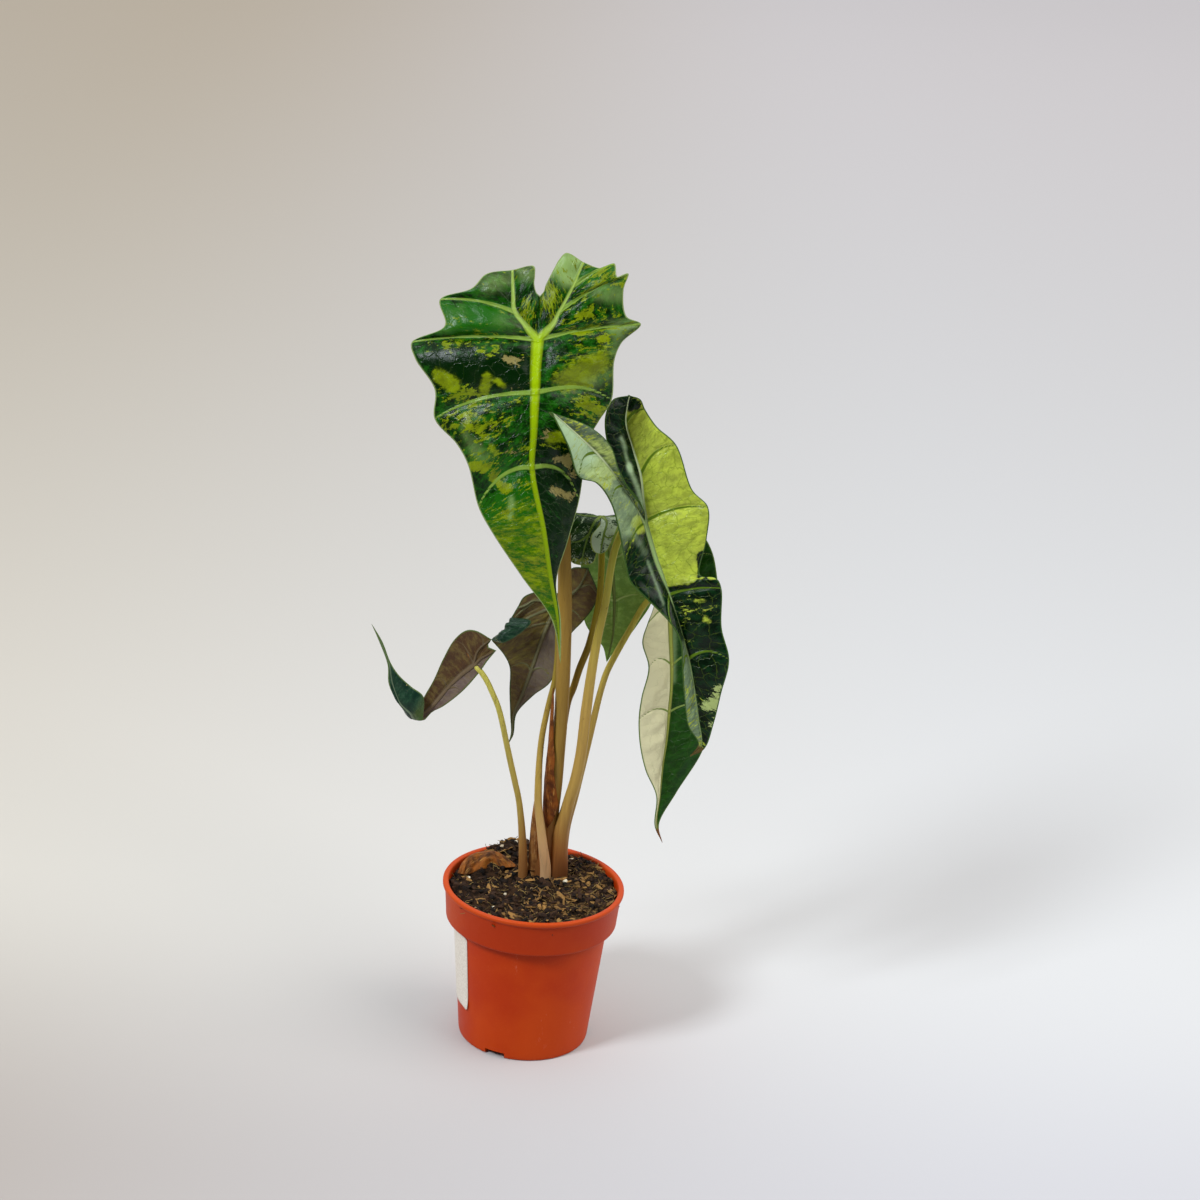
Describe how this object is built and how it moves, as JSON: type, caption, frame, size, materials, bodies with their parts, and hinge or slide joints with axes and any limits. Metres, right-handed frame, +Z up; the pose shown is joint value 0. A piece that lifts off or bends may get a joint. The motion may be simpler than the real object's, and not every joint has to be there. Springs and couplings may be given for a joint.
{
  "type": "potted foliage plant",
  "caption": "Young potted aroid: arrow-shaped, variegated, wavy-edged leaf blades on slender upright stems, rising from dark potting mix in a small tapered plastic nursery pot.",
  "frame": {"origin": "centre of the pot's flat base, on the surface that it stands on", "axes": "+Z up out of the pot, -Y towards the plant's best side, +X to the right as seen from there"},
  "size_m": [0.115, 0.06, 0.2676],
  "materials": {
    "blade_1": "glossy leaf",
    "blade_2": "glossy leaf",
    "blade_3": "satin leaf",
    "blade_4": "satin leaf",
    "blade_5": "satin leaf",
    "blade_6": "satin leaf",
    "stem": "satin",
    "dry_sheath": "dry and papery",
    "old_leaf_base": "dry and papery",
    "leaf_scrap": "dry and papery",
    "soil": "rough and crumbly",
    "corm": "rough",
    "pot": "semi-matt moulded",
    "label": "matt"
  },
  "bodies": {
    "root": {"blade_1": "blade_1", "blade_2": "blade_2", "blade_3": "blade_3", "blade_4": "blade_4", "blade_5": "blade_5", "blade_6": "blade_6", "stem_1": "stem", "stem_2": "stem", "stem_3": "stem", "stem_4": "stem", "stem_5": "stem", "stem_6": "stem", "dry_sheath": "dry_sheath", "old_leaf_base": "old_leaf_base", "leaf_scrap": "leaf_scrap", "soil": "soil", "corm": "corm", "pot": "pot", "label": "label"}
  },
  "joints": []
}
